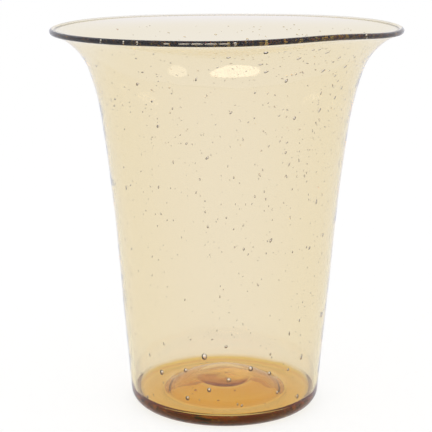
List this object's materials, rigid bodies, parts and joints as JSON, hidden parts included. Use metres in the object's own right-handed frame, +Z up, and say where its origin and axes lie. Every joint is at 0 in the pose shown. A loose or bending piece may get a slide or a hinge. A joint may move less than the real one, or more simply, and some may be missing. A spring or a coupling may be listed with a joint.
{
  "type": "flower vase",
  "caption": "Blown amber bubble glass vase with a wide flared mouth, a nearly straight body and a thick round-heeled base.",
  "frame": {"origin": "centre of the ground foot ring, on the surface that the vase stands on", "axes": "+Z up along the vase's axis, towards the mouth; X and Y are free because the vase is round"},
  "size_m": [0.1906, 0.1906, 0.21],
  "materials": {
    "amber_glass": "fire-polished clear amber glass with air bubbles"
  },
  "bodies": {
    "root": {"inner_gather": "amber_glass", "outer_casing": "amber_glass", "lip_bead": "amber_glass", "punty_wad": "amber_glass"}
  },
  "joints": []
}
